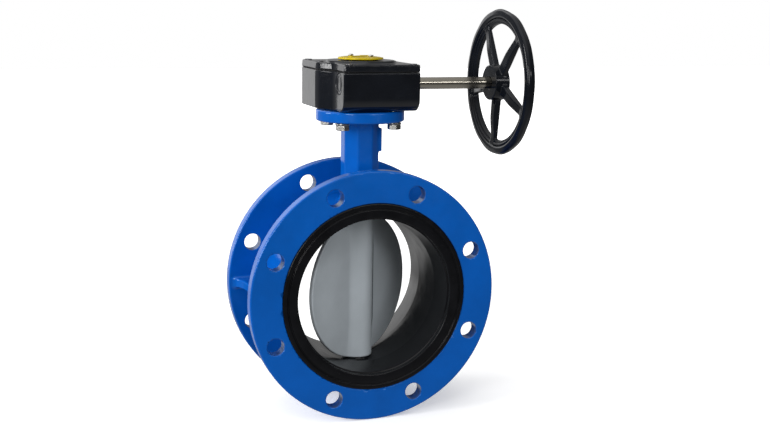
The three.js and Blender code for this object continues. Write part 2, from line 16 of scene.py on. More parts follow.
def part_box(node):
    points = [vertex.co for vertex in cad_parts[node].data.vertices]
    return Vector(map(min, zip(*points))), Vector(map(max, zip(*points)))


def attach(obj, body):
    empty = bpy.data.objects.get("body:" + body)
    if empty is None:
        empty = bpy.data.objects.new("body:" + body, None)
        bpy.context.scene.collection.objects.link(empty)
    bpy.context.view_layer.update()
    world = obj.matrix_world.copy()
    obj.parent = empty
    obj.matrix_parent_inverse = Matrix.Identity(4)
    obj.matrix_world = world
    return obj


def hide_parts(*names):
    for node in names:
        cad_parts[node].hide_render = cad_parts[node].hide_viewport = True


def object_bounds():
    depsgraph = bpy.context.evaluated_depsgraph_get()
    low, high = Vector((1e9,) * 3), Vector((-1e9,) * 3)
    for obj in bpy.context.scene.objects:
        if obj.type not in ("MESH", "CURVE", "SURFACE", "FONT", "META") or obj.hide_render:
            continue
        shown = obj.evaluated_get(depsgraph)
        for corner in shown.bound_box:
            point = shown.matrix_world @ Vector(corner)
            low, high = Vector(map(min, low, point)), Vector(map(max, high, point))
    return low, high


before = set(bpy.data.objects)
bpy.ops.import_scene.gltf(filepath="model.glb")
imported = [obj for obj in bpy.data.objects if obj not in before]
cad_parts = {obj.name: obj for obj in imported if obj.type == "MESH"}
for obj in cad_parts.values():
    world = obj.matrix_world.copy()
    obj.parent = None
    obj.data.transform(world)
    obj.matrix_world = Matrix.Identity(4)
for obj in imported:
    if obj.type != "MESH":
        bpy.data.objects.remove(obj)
cad_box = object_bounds()

MM = 0.001

# ---------------------------------------------------------------- dimensions shared with the CAD part
FACE = 75.0
FLANGE_R = 170.0
FLANGE_BACK = 57.0             # back of a flange, from the middle plane
BOLT_CIRCLE_R = 147.5
BOLT_HOLE_R = 11.5
BARREL_R = 123.0
METAL_BORE_R = 111.0
LIP_R = 127.0
LIP_FACE = 76.0
SEAT_R = 102.0
DISC_R = 101.6
DISC_REST = 33.5
DISC_HUB_R = 19.5
BARREL_ROOT = 24.8             # how far the painted shade, with some grime, in the root beside the disc's barrel reaches from the stem axis
GAP = 0.3                      # between pieces that fit into each other
STEM_R = 11.0
SQUARE_HALF = 7.75             # of the upper stem's square end, which sits in the disc
SQUARE_LOW = 30.0
KEYWAY_LOW = 262.0
KEYWAY_HIGH = 292.0
KEYWAY_HALF = 3.0              # half its width
CIRCLIP_LOW = 300.3
CIRCLIP_HIGH = 301.3
STEM_BORE_R = 14.3
NECK_FLAT = 24.2
TOP_Z = 244.0
TOP_T = 15.0
TOP_R = 60.0
TOP_BOLT = 51.0 * math.sqrt(0.5)
BOSS_BOTTOM = -163.0
WORM_Y = -42.0
WORM_Z = 281.0
SHAFT_R = 8.0
JOURNAL_R = 7.0                # of the shaft's end inside the worm
SHAFT_START = -35.0
SHAFT_STEP = 20.0              # where the journal ends and the full shaft starts
SHAFT_END = 190.5
WORM_HALF = 19.5               # half its length
WORM_PITCH_R = 13.0
WORM_ROOT_R = 10.6
WORM_TIP_R = 15.0
WHEEL_TEETH = 24               # of a whole wheel; the quadrant has ten
WHEEL_PITCH_R = 29.0
WHEEL_ROOT_R = 26.6
TOOTH_PITCH = 2 * math.pi * WHEEL_PITCH_R / WHEEL_TEETH
MID_TRAVEL = 45                # degrees open where the quadrant faces the worm squarely
BOX_LEFT = -58.0
BOX_RIGHT = 62.0
BOX_FRONT = -65.3
BOX_REAR = 88.0
WORM_END_X = -43.3             # left end of the worm's part of the box, which stands back from BOX_LEFT
FACET_NORMAL = (-0.9165, -0.3998)
FACET_Y = 10.7                 # where the slanted facet between those two meets BOX_LEFT
CORNER_Y = 58.0                # where the cut-off corner meets BOX_RIGHT
BOX_BOTTOM = 244.3
BOX_TOP = 296.0
BOX_FLOOR = 252.0
COVER_BOTTOM = 297.4
COVER_TOP = 306.7
CROWN_R = 46.0
CROWN_TOP = 310.0
WALL = 6.0
COVER_SCREWS = ((-34, -58.5), (54, -57), (-50, 24), (54, 24), (-50, 80), (24, 80))
SCREW_SEAT = 301.9             # floor of the recess for a cover screw's head
SCREW_TOP = 307.5
TOP_BOLTS = ((1, 1), (-1, 1), (-1, -1), (1, -1))
BOLT_LOW = 219.6               # underside of a mounting bolt's head
BOLT_HIGH = 255.0
STOP_X = 22.5                  # of the stop screws, to both sides of the stem
STOP_TIP = 14.2
STOP_NUT = (88.3, 94.8)
STOP_HEAD = (98.5, 103.8)
INDICATOR_SCREW = 17.0         # from the stem axis
WHEEL_X = 186.5
HUB_R = 23.5
HUB_ENDS = (170.5, 191.0)
PIN_X = 178.0
SPOKE_START = 47.0             # degrees, from -Y towards +Z
SPOKES = 5
GRIPS = 13                     # finger waves round the rim
GRIP_DEPTH = 0.9
GRIP_START = math.radians(104)


# Brightness of the studio as the object sees it.
BACKDROP = 1.1
BACKDROP_RIGHT = 0.2
BACKDROP_LEFT = 0.13
BACKDROP_LOW = 0.35
CEILING = 1.0
CEILING_RIGHT = 0.42
GROUND = 0.35
DIM = 0.07


# ---------------------------------------------------------------- distance fields
def union(a, b, r=0.0):
    """Both solids, with a fillet of radius r in the corner between them."""
    if not np.any(r):
        return np.minimum(a, b)
    return np.maximum(r, np.minimum(a, b)) - np.hypot(np.maximum(r - a, 0), np.maximum(r - b, 0))


def meet(a, b, r=0.0):
    """What two solids share, with the edge between them rounded to radius r."""
    if r <= 0:
        return np.maximum(a, b)
    return np.minimum(-r, np.maximum(a, b)) + np.hypot(np.maximum(r + a, 0), np.maximum(r + b, 0))


def cut(a, b, r=0.0):
    return meet(a, -b, r)


def slab(t, low, high):
    return np.abs(t - (low + high) / 2) - (high - low) / 2


def rod(u, v, w, radius, low, high, edge=0.0):
    return meet(np.hypot(u, v) - radius, slab(w, low, high), edge)


def brick(x, y, z, low, high, edge=0.0):
    side = meet(slab(x, low[0], high[0]), slab(y, low[1], high[1]), edge)
    return meet(side, slab(z, low[2], high[2]), edge)


def hexagon(u, v, flat):
    """Distance to a hexagonal bar with that half width across its flats."""
    third = math.pi / 3
    sides = [np.abs(u * math.cos(k * third) + v * math.sin(k * third)) for k in range(3)]
    return np.maximum.reduce(np.broadcast_arrays(*sides)) - flat


def turned(u, v, degrees):
    """Coordinates seen from axes that are turned by that angle."""
    c, s = math.cos(math.radians(degrees)), math.sin(math.radians(degrees))
    return u * c + v * s, v * c - u * s


def smooth(t, low, high):
    t = np.clip((t - low) / (high - low), 0, 1)
    return t * t * (3 - 2 * t)


# ---------------------------------------------------------------- meshes
def new_object(name, mesh):
    piece = bpy.data.objects.new(name, mesh)
    bpy.context.scene.collection.objects.link(piece)
    return piece


def gradient(field, points, reach=0.05):
    """Unit gradient of a field, which is the outward direction on its surface."""
    sides = []
    for k in range(3):
        step = np.zeros(3)
        step[k] = reach
        sides.append(field(*(points + step).T) - field(*(points - step).T))
    grown = np.stack(sides, 1)
    return grown / np.maximum(np.linalg.norm(grown, axis=1, keepdims=True), 1e-9)


def polygonise(field, low, high, voxel, flat):
    """Points and faces of the surface where a field is zero, from a grid over a box."""
    low = np.array(low, float) - 3 * voxel
    counts = np.ceil((np.array(high, float) + 3 * voxel - low) / voxel).astype(int) + 1
    axes = [(low[k] + voxel * np.arange(counts[k])).astype(np.float32) for k in range(3)]
    values = np.broadcast_to(field(*np.meshgrid(*axes, indexing="ij", sparse=True)), counts)
    grid = openvdb.FloatGrid(3 * voxel)
    grid.copyFromArray(np.ascontiguousarray(np.clip(values, -3 * voxel, 3 * voxel), np.float32))
    points, triangles, quads = grid.convertToPolygons(0.0, flat)
    return points.astype(float) * voxel + low, triangles, quads


def grow(name, field, low, high, voxel, flat=0.02):
    """A piece from a distance field, with its points on the surface itself. The attribute hollow says how
    sharply the surface bends inwards there; materials use it to paint shade into hollows."""
    points, triangles, quads = polygonise(field, low, high, voxel, flat)
    for _ in range(4):
        ahead = gradient(field, points)
        away = np.clip(field(*points.T), -0.5 * voxel, 0.5 * voxel)
        points -= ahead * away[:, None]
    normals = gradient(field, points)
    kinds = [faces.astype(int) for faces in (triangles, quads) if len(faces)]
    if sum(facing(points, faces, normals)[1].sum() for faces in kinds) < 0:
        kinds = [faces[:, ::-1] for faces in kinds]
    mesh = bpy.data.meshes.new(name)
    mesh.from_pydata((points * MM).tolist(), [], [face for faces in kinds for face in faces.tolist()])
    mesh.shade_smooth()
    corners = [corner_normals(points, faces, normals, voxel) for faces in kinds]
    mesh.normals_split_custom_set(np.concatenate(corners).tolist())
    # hollow is 1 in sharp hollows, where the materials paint shade.
    hollow = np.clip(-bending(field, points) / 0.3, 0, 1)
    mesh.attributes.new("hollow", "FLOAT", "POINT").data.foreach_set("value", hollow.astype(np.float32))
    return new_object(name, mesh)


def bending(field, points, reach=0.3):
    """How sharply the surface bends at each point, in 1/mm: above 0 on edges and below 0 in hollows."""
    total = -6 * field(*points.T)
    for k in range(3):
        step = np.zeros(3)
        step[k] = reach
        total = total + field(*(points + step).T) + field(*(points - step).T)
    return total / reach ** 2


def facing(points, faces, normals):
    """The way each face looks, and how well the surface's normal at each of its corners agrees with it."""
    corners = points[faces]
    ahead = np.cross(corners[:, 2] - corners[:, 0], corners[:, -1] - corners[:, 1])
    ahead /= np.maximum(np.linalg.norm(ahead, axis=1, keepdims=True), 1e-12)
    return ahead, np.einsum("fkc,fc->fk", normals[faces], ahead)


def corner_normals(points, faces, normals, voxel):
    """A normal for each corner of each face: the surface's own, but the face's where a large face runs into
    a rounded edge, so that the edge does not shade the whole face."""
    ahead, agreement = facing(points, faces, normals)
    corners = points[faces]
    reach = np.linalg.norm(corners - corners.mean(1, keepdims=True), axis=2).max(1)
    slanting = agreement.mean(1) < 0.98
    own = (slanting | (reach < voxel))[:, None] | (agreement > 0.995)
    return np.where(own[..., None], normals[faces], ahead[:, None]).reshape(-1, 3)


def rounded(profile, steps=5):
    """A closed profile of (radius, height, fillet) corners as points, each fillet an arc."""
    out = []
    count = len(profile)
    for i, (r, h, fillet) in enumerate(profile):
        here = np.array((r, h), float)
        before = np.array(profile[i - 1][:2], float) - here
        after = np.array(profile[(i + 1) % count][:2], float) - here
        if fillet <= 0:
            out.append(here)
            continue
        a, b = before / np.linalg.norm(before), after / np.linalg.norm(after)
        half = math.acos(np.clip(a @ b, -1, 1)) / 2
        back = min(fillet / math.tan(half), 0.49 * np.linalg.norm(before), 0.49 * np.linalg.norm(after))
        radius = back * math.tan(half)
        middle = here + (a + b) / np.linalg.norm(a + b) * radius / math.sin(half)
        start, end = here + a * back - middle, here + b * back - middle
        for k in range(steps + 1):
            t = k / steps
            turn = (1 - t) * start + t * end
            out.append(middle + turn / np.linalg.norm(turn) * radius)
    return np.array(out)


def axes_of(axis):
    """Rotation that turns +Z to X, Y or Z."""
    return {
        "Z": Matrix.Identity(4),
        "X": Matrix.Rotation(math.pi / 2, 4, "Y"),
        "Y": Matrix.Rotation(-math.pi / 2, 4, "X"),
    }[axis]


def spin(name, profile, axis="Z", centre=(0, 0, 0), segments=64, steps=5):
    """A turned piece. The profile is a closed list of (radius, height, fillet); radius 0 is the axis."""
    points = rounded(profile, steps)
    count = len(points)
    turns = np.arange(segments) * 2 * math.pi / segments
    spots = [(r * math.cos(a), r * math.sin(a), h) for a in turns for r, h in points]
    faces = []
    for i in range(segments):
        j = (i + 1) % segments
        for k in range(count):
            m = (k + 1) % count
            if points[k][0] < 1e-6 and points[m][0] < 1e-6:
                continue
            ring = [i * count + k, j * count + k, j * count + m, i * count + m]
            if points[k][0] < 1e-6:
                ring = [ring[0], ring[2], ring[3]]
            elif points[m][0] < 1e-6:
                ring = [ring[0], ring[1], ring[2]]
            faces.append(ring)
    mesh = bpy.data.meshes.new(name)
    mesh.from_pydata([tuple(c * MM for c in s) for s in spots], [], faces)
    mesh.transform(Matrix.Translation(Vector(centre) * MM) @ axes_of(axis))
    weld(mesh)
    return new_object(name, mesh)


def weld(mesh):
    """Joins what meets on the axis, turns the faces outwards and shades all but the corners smooth."""
    work = bmesh.new()
    work.from_mesh(mesh)
    bmesh.ops.remove_doubles(work, verts=work.verts, dist=1e-7)
    bmesh.ops.recalc_face_normals(work, faces=work.faces)
    work.to_mesh(mesh)
    work.free()
    mesh.shade_smooth()
    mesh.set_sharp_from_angle(angle=math.radians(32))


def copies(first, names, offsets):
    """The same piece again at each offset. The first one is moved too."""
    made = []
    for name, offset in zip(names, offsets):
        mesh = first.data.copy()
        mesh.transform(Matrix.Translation(Vector(offset) * MM))
        made.append(new_object(name, mesh))
    bpy.data.objects.remove(first)
    return made


def middle_of(node):
    low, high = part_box(node)
    return (low + high) / 2 / MM


def span_of(node, axis):
    low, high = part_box(node)
    return low["XYZ".index(axis)] / MM, high["XYZ".index(axis)] / MM


# ---------------------------------------------------------------- shader kit
class Nodes:
    """Short ways to add nodes to a material's or the world's node tree."""

    def __init__(self, tree, place):
        self.tree = tree
        self.place = self.node("ShaderNodeTexCoord").outputs[place]

    def node(self, kind, **settings):
        made = self.tree.nodes.new(kind)
        for key, value in settings.items():
            setattr(made, key, value)
        return made

    def link(self, source, target):
        self.tree.links.new(source, target)

    def coordinates(self):
        split = self.node("ShaderNodeSeparateXYZ")
        self.link(self.place, split.inputs["Vector"])
        return [split.outputs[axis] for axis in "XYZ"]

    def ranged(self, value, low, high, to_low, to_high, **settings):
        made = self.node("ShaderNodeMapRange", clamp=True, **settings)
        self.link(value, made.inputs["Value"])
        for key, number in zip(("From Min", "From Max", "To Min", "To Max"), (low, high, to_low, to_high)):
            made.inputs[key].default_value = number
        return made.outputs["Result"]

    def math(self, operation, a, b):
        made = self.node("ShaderNodeMath", operation=operation)
        for slot, value in zip(made.inputs, (a, b)):
            if isinstance(value, (int, float)):
                slot.default_value = value
            else:
                self.link(value, slot)
        return made.outputs["Value"]


class Shader(Nodes):
    """A material with one Principled shader."""

    def __init__(self, name, **values):
        self.material = bpy.data.materials.new(name)
        self.material.use_nodes = True
        super().__init__(self.material.node_tree, "Object")
        self.shader = self.tree.nodes["Principled BSDF"]
        for key, value in values.items():
            self.shader.inputs[key.replace("_", " ")].default_value = value

    def stretched(self, scale):
        mapping = self.node("ShaderNodeMapping")
        mapping.inputs["Scale"].default_value = scale
        self.link(self.place, mapping.inputs["Vector"])
        return mapping.outputs["Vector"]

    def noise(self, size, detail=3.0, rough=0.55, place=None):
        """Noise whose features are about that many metres across."""
        made = self.node("ShaderNodeTexNoise")
        made.inputs["Scale"].default_value = 1 / size
        made.inputs["Detail"].default_value = detail
        made.inputs["Roughness"].default_value = rough
        self.link(place or self.place, made.inputs["Vector"])
        return made.outputs["Fac"]

    def specks(self, size, share):
        """1 in small scattered spots and 0 elsewhere; a larger share gives more of them."""
        made = self.node("ShaderNodeTexVoronoi")
        made.inputs["Scale"].default_value = 1 / size
        self.link(self.place, made.inputs["Vector"])
        return self.ranged(made.outputs["Distance"], share, share * 0.5, 0, 1)

    def attribute(self, name):
        return self.node("ShaderNodeAttribute", attribute_name=name).outputs["Fac"]

    def mix(self, amount, a, b):
        made = self.node("ShaderNodeMix", data_type="RGBA")
        self.link(amount, made.inputs["Factor"])
        for slot, value in zip((made.inputs["A"], made.inputs["B"]), (a, b)):
            if isinstance(value, tuple):
                slot.default_value = (*value, 1)
            else:
                self.link(value, slot)
        return made.outputs["Result"]

    def colour(self, value):
        self.link(value, self.shader.inputs["Base Color"])

    def roughness(self, value):
        self.link(value, self.shader.inputs["Roughness"])

    def bump(self, height, depth, before=None):
        """Raises the surface by height times that many metres."""
        made = self.node("ShaderNodeBump")
        made.inputs["Strength"].default_value = 1.0
        made.inputs["Distance"].default_value = depth
        self.link(height, made.inputs["Height"])
        if before is not None:
            self.link(before, made.inputs["Normal"])
        self.link(made.outputs["Normal"], self.shader.inputs["Normal"])
        return made.outputs["Normal"]


def tint(colour, amount):
    return tuple(min(1.0, c * amount) for c in colour)


# ---------------------------------------------------------------- materials
BLUE = (0.0010, 0.096, 0.445)
BLACK = (0.0050, 0.0062, 0.0090)
RUBBER = (0.0040, 0.0042, 0.0052)
GREY = (0.42, 0.462, 0.495)


def bolt_hole_mask(s):
    """1 on the walls of the flange bolt holes, where the paint is thin, and 0 elsewhere."""
    x, _, z = s.coordinates()
    from_axis = s.math("SQRT", s.math("ADD", s.math("MULTIPLY", x, x), s.math("MULTIPLY", z, z)), 0)
    turns = s.math("DIVIDE", s.math("ARCTAN2", z, x), math.pi / 4)
    turn = s.math("MULTIPLY", s.math("SUBTRACT", s.math("FLOORED_MODULO", turns, 1), 0.5), math.pi / 4)
    along = s.math("SUBTRACT", s.math("MULTIPLY", from_axis, s.math("COSINE", turn, 0)), BOLT_CIRCLE_R * MM)
    aside = s.math("MULTIPLY", from_axis, s.math("SINE", turn, 0))
    squares = s.math("ADD", s.math("MULTIPLY", along, along), s.math("MULTIPLY", aside, aside))
    edge = (BOLT_HOLE_R + 0.4) * MM
    return s.ranged(s.math("SQRT", squares, 0), edge, edge - 0.0002, 0, 1)


def blue_enamel():
    s = Shader("blue_enamel", Roughness=0.17, Specular_IOR_Level=0.55, Specular_Tint=(0.60, 0.86, 1.0, 1.0))
    cloud = s.noise(0.05, 4)
    colour = s.mix(s.ranged(cloud, 0.35, 0.65, 0, 1), tint(BLUE, 0.92), tint(BLUE, 1.08))
    fleck = s.noise(0.0011, 2)
    colour = s.mix(s.ranged(fleck, 0.62, 0.80, 0, 0.3), colour, (0.02, 0.17, 0.62))
    thin = s.math("MULTIPLY", bolt_hole_mask(s), s.ranged(s.noise(0.006, 3), 0.3, 0.6, 0.3, 0.8))
    colour = s.mix(thin, colour, (0.075, 0.10, 0.18))
    s.colour(colour)
    s.roughness(s.ranged(s.noise(0.02, 3), 0.3, 0.7, 0.13, 0.22))
    peel = s.bump(s.noise(0.0042, 2, 0.4), 0.00008)
    s.bump(s.noise(0.0012, 2), 0.000015, peel)
    return s.material


def black_enamel(name, roughness, peel_depth, gloss=0.5):
    s = Shader(name, Roughness=roughness, Specular_IOR_Level=gloss)
    cloud = s.noise(0.03, 4)
    colour = s.mix(s.ranged(cloud, 0.3, 0.7, 0, 1), tint(BLACK, 0.8), tint(BLACK, 1.3))
    s.colour(colour)
    s.roughness(s.ranged(s.noise(0.012, 4), 0.3, 0.75, roughness * 0.8, roughness * 1.5))
    peel = s.bump(s.noise(0.008, 2, 0.4), peel_depth)
    s.bump(s.noise(0.0015, 2), peel_depth * 0.15, peel)
    return s.material


def seat_rubber():
    s = Shader("seat_rubber", Roughness=0.18, Specular_IOR_Level=0.29)
    colour = s.mix(s.ranged(s.noise(0.02, 5), 0.3, 0.75, 0, 1), tint(RUBBER, 0.75), tint(RUBBER, 1.5))
    dust = s.math("MULTIPLY", s.specks(0.004, 0.10), s.ranged(s.noise(0.05, 2), 0.5, 0.65, 0, 0.5))
    s.colour(s.mix(dust, colour, (0.10, 0.10, 0.10)))
    s.roughness(s.ranged(s.noise(0.015, 4), 0.3, 0.7, 0.12, 0.24))
    s.bump(s.noise(0.0008, 3, 0.6), 0.00002)
    return s.material


def barrel_root_shade_mask(s):
    """1 in the sharp root on one side of the disc's stem barrel, where a dark line of painted shade with
    some grime is laid, and 0 elsewhere.
    """
    x, y, _ = s.coordinates()
    turn = math.radians(DISC_REST)
    across = s.math("ADD", s.math("MULTIPLY", x, math.cos(turn)), s.math("MULTIPLY", y, math.sin(turn)))
    off = s.math("SUBTRACT", s.math("MULTIPLY", y, math.cos(turn)), s.math("MULTIPLY", x, math.sin(turn)))
    aside = s.math("MULTIPLY", across, s.math("MULTIPLY", s.math("SIGN", off, 0), -1))
    beyond = s.ranged(aside, BARREL_ROOT * MM, (BARREL_ROOT + 1.2) * MM, 1, 0)
    return s.math("MULTIPLY", beyond, s.ranged(aside, 0.018, 0.020, 0, 1))


def disc_coating():
    s = Shader("disc_coating", Roughness=0.42, Specular_IOR_Level=0.45)
    colour = s.mix(s.ranged(s.noise(0.05, 5), 0.3, 0.7, 0, 1), tint(GREY, 0.93), tint(GREY, 1.05))
    colour = s.mix(s.ranged(s.noise(0.0015, 2), 0.60, 0.80, 0, 0.3), colour, tint(GREY, 0.75))
    # Painted shade: darker in the hollows and creases of the disc.
    colour = s.mix(s.ranged(s.attribute("hollow"), 0.2, 0.9, 0, 0.3), colour, tint(GREY, 0.6))
    # Painted shade, partly grime: a dark line in the root on one side of the barrel.
    root_shade_and_grime = s.math("MULTIPLY", barrel_root_shade_mask(s), s.ranged(s.noise(0.02, 3), 0.2, 0.6, 0.75, 1.0))
    s.colour(s.mix(root_shade_and_grime, colour, tint(GREY, 0.12)))
    s.roughness(s.ranged(s.noise(0.02, 4), 0.3, 0.7, 0.34, 0.48))
    peel = s.bump(s.noise(0.0022, 2, 0.4), 0.00005)
    s.bump(s.noise(0.0006, 2), 0.000012, peel)
    return s.material


def bright_steel():
    s = Shader("bright_steel", Metallic=1.0, Roughness=0.35)
    stain = s.ranged(s.noise(0.008, 4), 0.35, 0.7, 0, 1)
    s.colour(s.mix(stain, (0.62, 0.61, 0.59), (0.42, 0.41, 0.38)))
    s.roughness(s.ranged(s.noise(0.004, 4), 0.3, 0.7, 0.20, 0.36))
    s.bump(s.noise(0.0007, 3), 0.00002)
    return s.material


def turned_steel(name, light, dark, along, roughness=(0.22, 0.36)):
    """Steel with fine rings from the lathe. along is the axis that the rings are stacked on."""
    s = Shader(name, Metallic=1.0, Roughness=0.3)
    scale = [18.0, 18.0, 18.0]
    scale["XYZ".index(along)] = 2600.0
    rings = s.noise(1.0, 3, 0.6, s.stretched(scale))
    s.colour(s.mix(s.ranged(rings, 0.3, 0.7, 0, 1), light, dark))
    s.roughness(s.ranged(s.noise(0.006, 3), 0.3, 0.7, *roughness))
    s.bump(rings, 0.000001)
    return s.material


def cast_metal(name, light, dark, roughness):
    s = Shader(name, Metallic=1.0, Roughness=roughness)
    s.colour(s.mix(s.ranged(s.noise(0.006, 5), 0.3, 0.7, 0, 1), light, dark))
    s.roughness(s.ranged(s.noise(0.003, 4), 0.3, 0.7, roughness * 0.8, min(1.0, roughness * 1.3)))
    s.bump(s.noise(0.0009, 4), 0.00005)
    return s.material


def yellow_enamel():
    s = Shader("yellow_enamel", Roughness=0.32, Specular_IOR_Level=0.22)
    colour = s.mix(s.ranged(s.noise(0.012, 4), 0.3, 0.7, 0, 1), (0.50, 0.36, 0.003), (0.60, 0.46, 0.006))
    # Painted shade: darker in the hollows round the pointer and the screw holes.
    colour = s.mix(s.ranged(s.attribute("hollow"), 0.1, 0.8, 0, 0.5), colour, (0.25, 0.16, 0.005))
    s.colour(s.mix(s.specks(0.005, 0.10), colour, (0.35, 0.26, 0.05)))
    s.roughness(s.ranged(s.noise(0.006, 3), 0.3, 0.7, 0.26, 0.42))
    s.bump(s.noise(0.002, 2), 0.00003)
    return s.material


def soft_rubber():
    s = Shader("sealing_rubber", Roughness=0.5)
    s.colour(s.mix(s.noise(0.003, 3), tint(RUBBER, 0.8), tint(RUBBER, 1.6)))
    s.roughness(s.ranged(s.noise(0.002, 3), 0.3, 0.7, 0.4, 0.65))
    return s.material


looks = {
    "body_enamel": blue_enamel(),
    "gearbox_enamel": black_enamel("black_gloss_enamel", 0.09, 0.00008),
    "handwheel_enamel": black_enamel("handwheel_enamel", 0.12, 0.00008, 0.28),
    "seat_rubber": seat_rubber(),
    "seal_rubber": soft_rubber(),
    "disc_coating": disc_coating(),
    "bright_steel": bright_steel(),
    "stainless_shaft": turned_steel(
        "stainless_shaft", (0.44, 0.41, 0.35), (0.37, 0.345, 0.295), "X", (0.16, 0.24)),
    "stem_steel": turned_steel("stem_steel", (0.62, 0.60, 0.57), (0.48, 0.46, 0.43), "Z"),
    "bearing_bronze": cast_metal("bearing_bronze", (0.62, 0.40, 0.15), (0.46, 0.27, 0.09), 0.32),
    "gear_iron": cast_metal("gear_iron", (0.17, 0.17, 0.18), (0.10, 0.10, 0.11), 0.45),
    "spring_steel": cast_metal("spring_steel", (0.40, 0.40, 0.41), (0.28, 0.28, 0.29), 0.30),
    "blackened_steel": cast_metal("blackened_steel", (0.16, 0.16, 0.17), (0.08, 0.08, 0.09), 0.32),
    "indicator_yellow": yellow_enamel(),
}


def finish_piece(piece, body, node, slot, look=None):
    """Gives a piece its material, picked by its look or else by its slot, and its body, and lets it stand
    for its CAD node.
    """
    piece.data.materials.clear()
    piece.data.materials.append(looks[look or slot])
    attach(piece, body)
    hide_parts(node)


def grow_node(node, suffix, field, body, slot, voxel, flat=0.02, look=None):
    """Grows the piece that stands for a CAD node, inside the node's box."""
    low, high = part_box(node)
    piece = grow(node + suffix, field, low / MM, high / MM, voxel, flat)
    finish_piece(piece, body, node, slot, look)


# ---------------------------------------------------------------- valve body
def bolt_hole_distance(x, z):
    """Distance from the nearest bolt hole's axis."""
    sector = math.pi / 4
    around = np.mod(np.arctan2(z, x), sector) - sector / 2
    from_axis = np.hypot(x, z)
    return np.hypot(from_axis * np.cos(around) - BOLT_CIRCLE_R, from_axis * np.sin(around))


def flanged_barrel(x, y, z):
    from_axis = np.hypot(x, z)
    barrel = meet(from_axis - BARREL_R, np.abs(y) - FACE + 1)
    flanges = meet(from_axis - FLANGE_R, slab(np.abs(y), FLANGE_BACK, FACE), 2.0)
    edge = 152 + 11 * np.abs(np.clip(y / FLANGE_BACK, -1, 1)) ** 4
    ribs = meet(np.abs(z) - 6, meet(np.abs(x) - edge, np.abs(y) - FACE + 8), 2.2)
    return union(union(barrel, ribs, 6), flanges, 5)


def neck(x, y, z):
    across, along = np.abs(x), np.abs(y)
    corner = math.sqrt(0.5) * (across + along)
    octagon = meet(np.maximum(across, along) - NECK_FLAT, corner - NECK_FLAT, 1.5)
    stem = meet(octagon, slab(z, BARREL_R - 25, TOP_Z - 8))
    top = rod(x, y, z, TOP_R, TOP_Z - TOP_T, TOP_Z, 2.6)
    shape = union(stem, top, 5)
    pad = meet(meet(x - 28, along - 12, 1.5), slab(z, 187, 219), 1.5)
    return union(shape, np.maximum(pad, 20 - x), 2.5)


def valve_body_field(x, y, z):
    from_axis = np.hypot(x, z)
    shape = union(flanged_barrel(x, y, z), neck(x, y, z), 9)
    shape = union(shape, rod(x, y, z, 26, BOSS_BOTTOM, -100, 2), 7)
    shape = cut(shape, from_axis - METAL_BORE_R, 0.8)
    shape = cut(shape, meet(from_axis - LIP_R - GAP, 70.7 - np.abs(y)), 0.8)
    shape = cut(shape, np.maximum(bolt_hole_distance(x, z) - BOLT_HOLE_R, 50 - np.abs(y)), 0.9)
    shape = cut(shape, rod(x, y, z, STEM_BORE_R, -152, 300))
    shape = cut(shape, rod(x, y, z, 35, TOP_Z - 2.8, 300), 0.6)
    shape = cut(shape, rod(x, y, z, 17, -200, -152), 0.8)
    bolts = np.hypot(np.abs(x) - TOP_BOLT, np.abs(y) - TOP_BOLT) - 5.5
    return cut(shape, np.maximum(bolts, 220 - z), 0.5)


def valve_body():
    grow_node("valve_body", "_casting", valve_body_field, "casing", "body_enamel", 1.15, 0.0015)


# ---------------------------------------------------------------- seat, disc and stems
def seat_liner():
    half = [
        (SEAT_R, 30, 4), (105.0, 69.0, 2), (106.6, 70.6, 0.8), (106.8, LIP_FACE, 1.3),
        (118.4, LIP_FACE, 0.8), (119.4, 74.6, 0.5), (120.6, 74.6, 0.5), (121.6, LIP_FACE, 0.8),
        (LIP_R, LIP_FACE, 1.4), (LIP_R, 71, 0.5), (METAL_BORE_R - GAP, 71, 0.8),
    ]
    mirrored = [(r, -h, fillet) for r, h, fillet in reversed(half)]
    piece = spin("seat_liner_sleeve", mirrored + half, "Y", segments=192)
    for side in (-1, 1):
        combine(piece, stem_pad(side), "UNION")
    bore = STEM_R + 0.4
    drill = spin("drill", [(0, -130, 0), (bore, -130, 0), (bore, 130, 0), (0, 130, 0)], segments=48)
    combine(piece, drill, "DIFFERENCE")
    finish_piece(piece, "casing", "seat_liner", "seat_rubber")


def stem_pad(side):
    """A raised pad round the stem, above (1) or below (-1), hollowed to the ball that the disc turns in."""
    ball = DISC_R + 0.35
    crown = [(r, side * math.sqrt(ball ** 2 - r ** 2), 0) for r in (0, 5, 10, 15, 19.6)]
    root = [(21, side * DISC_R, 0), (21, side * 104, 0), (0, side * 104, 0)]
    return spin("stem_pad", crown + root, segments=72)


def combine(piece, tool, operation):
    """Joins a closed piece with another one, or cuts it by that, and drops the other."""
    cutter = piece.modifiers.new("combine", "BOOLEAN")
    cutter.object = tool
    cutter.operation = operation
    cutter.solver = "EXACT"
    graph = bpy.context.evaluated_depsgraph_get()
    mesh = bpy.data.meshes.new_from_object(piece.evaluated_get(graph))
    piece.modifiers.clear()
    piece.data = mesh
    bpy.data.objects.remove(tool)


def disc_field(x, y, z):
    across, off = turned(x, y, DISC_REST)
    from_middle = np.hypot(across, z)
    ball = np.hypot(from_middle, off) - DISC_R
    half = 6.5 - 3.2 * smooth(from_middle, 52, 96)
    barrel = np.hypot(across, off) - DISC_HUB_R
    blend = np.where(across * off < 0, 3.0, 11.0)
    shape = union(np.abs(off) - half, barrel, blend)
    shape = meet(shape, ball, 1.8)
    shape = cut(shape, rod(x, y, z, STEM_R + GAP, 71, 120))
    shape = cut(shape, rod(x, y, z, STEM_R + GAP, -120, -30))
    square = np.maximum(np.abs(across), np.abs(off)) - SQUARE_HALF - GAP
    return cut(shape, np.maximum(square, slab(z, SQUARE_LOW - GAP, 73)))


def disc():
    grow_node("disc", "_casting", disc_field, "disc_group", "disc_coating", 1.0, 0.01)


